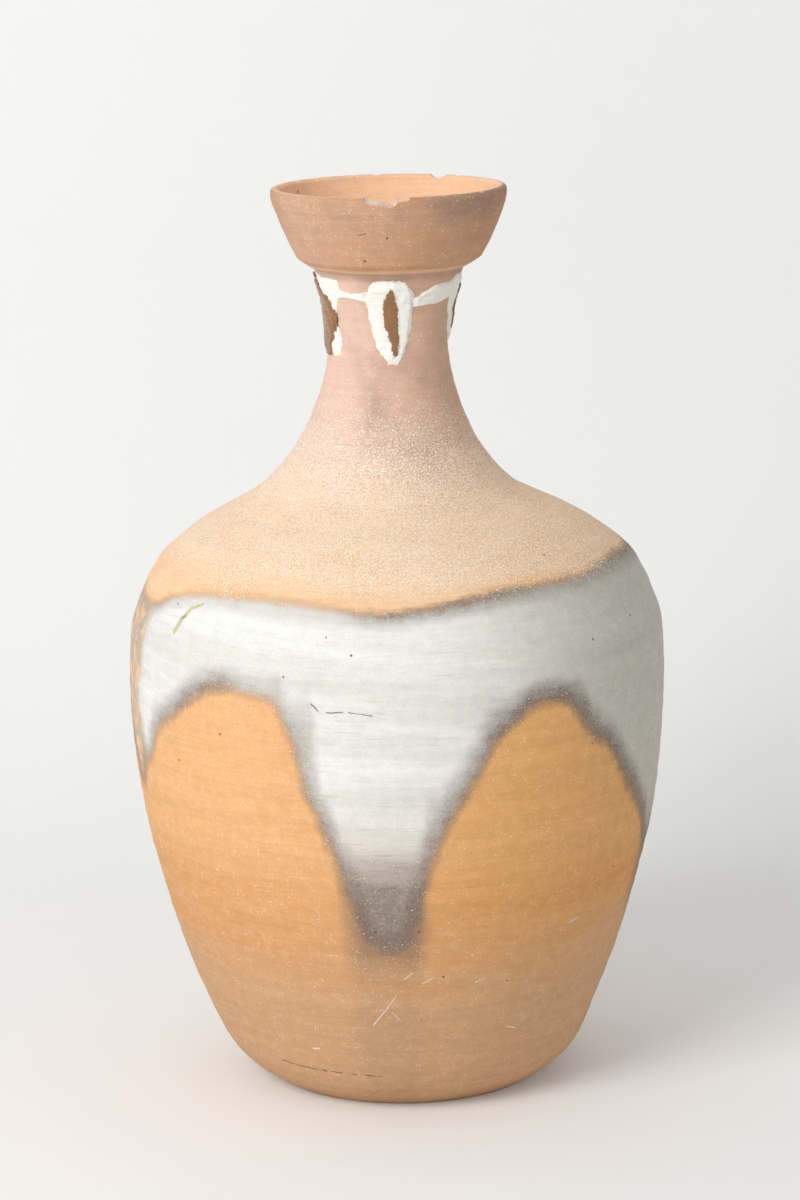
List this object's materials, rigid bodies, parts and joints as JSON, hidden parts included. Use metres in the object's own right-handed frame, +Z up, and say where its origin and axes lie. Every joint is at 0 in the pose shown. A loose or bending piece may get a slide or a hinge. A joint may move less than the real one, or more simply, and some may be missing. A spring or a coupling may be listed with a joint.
{
  "type": "rice wine vase",
  "caption": "Tall unglazed fired-clay vase with a rounded body, narrow neck and flaring cup mouth, for storing and pouring rice wine.",
  "frame": {"origin": "centre of the foot's flat underside, on the surface that the vase stands on", "axes": "+Z up along the vase's axis, the front with the middle putty patch faces -Y, +X to its right as seen from the front"},
  "size_m": [0.2682, 0.2682, 0.45],
  "materials": {
    "foot_clay": "matt unglazed fired clay",
    "belly_clay": "matt unglazed fired clay with grey fire marks",
    "shoulder_clay": "matt unglazed fired clay with pale grit",
    "neck_clay": "matt unglazed fired clay",
    "cup_clay": "matt unglazed fired clay",
    "lime_putty": "dry knife-smeared lime putty",
    "resin": "dark glossy tree resin"
  },
  "bodies": {
    "root": {"foot_slab": "foot_clay", "foot_wall": "foot_clay", "belly_wall": "belly_clay", "shoulder": "shoulder_clay", "neck": "neck_clay", "cup_mouth": "cup_clay", "putty_patch_front": "lime_putty", "putty_patch_right": "lime_putty", "putty_patch_back": "lime_putty", "putty_patch_left": "lime_putty", "putty_strand_front_to_right": "lime_putty", "putty_strand_right_to_back": "lime_putty", "putty_strand_back_to_left": "lime_putty", "putty_strand_left_to_front": "lime_putty", "resin_streak_front": "resin", "resin_streak_right": "resin", "resin_streak_back": "resin", "resin_streak_left": "resin"}
  },
  "joints": []
}
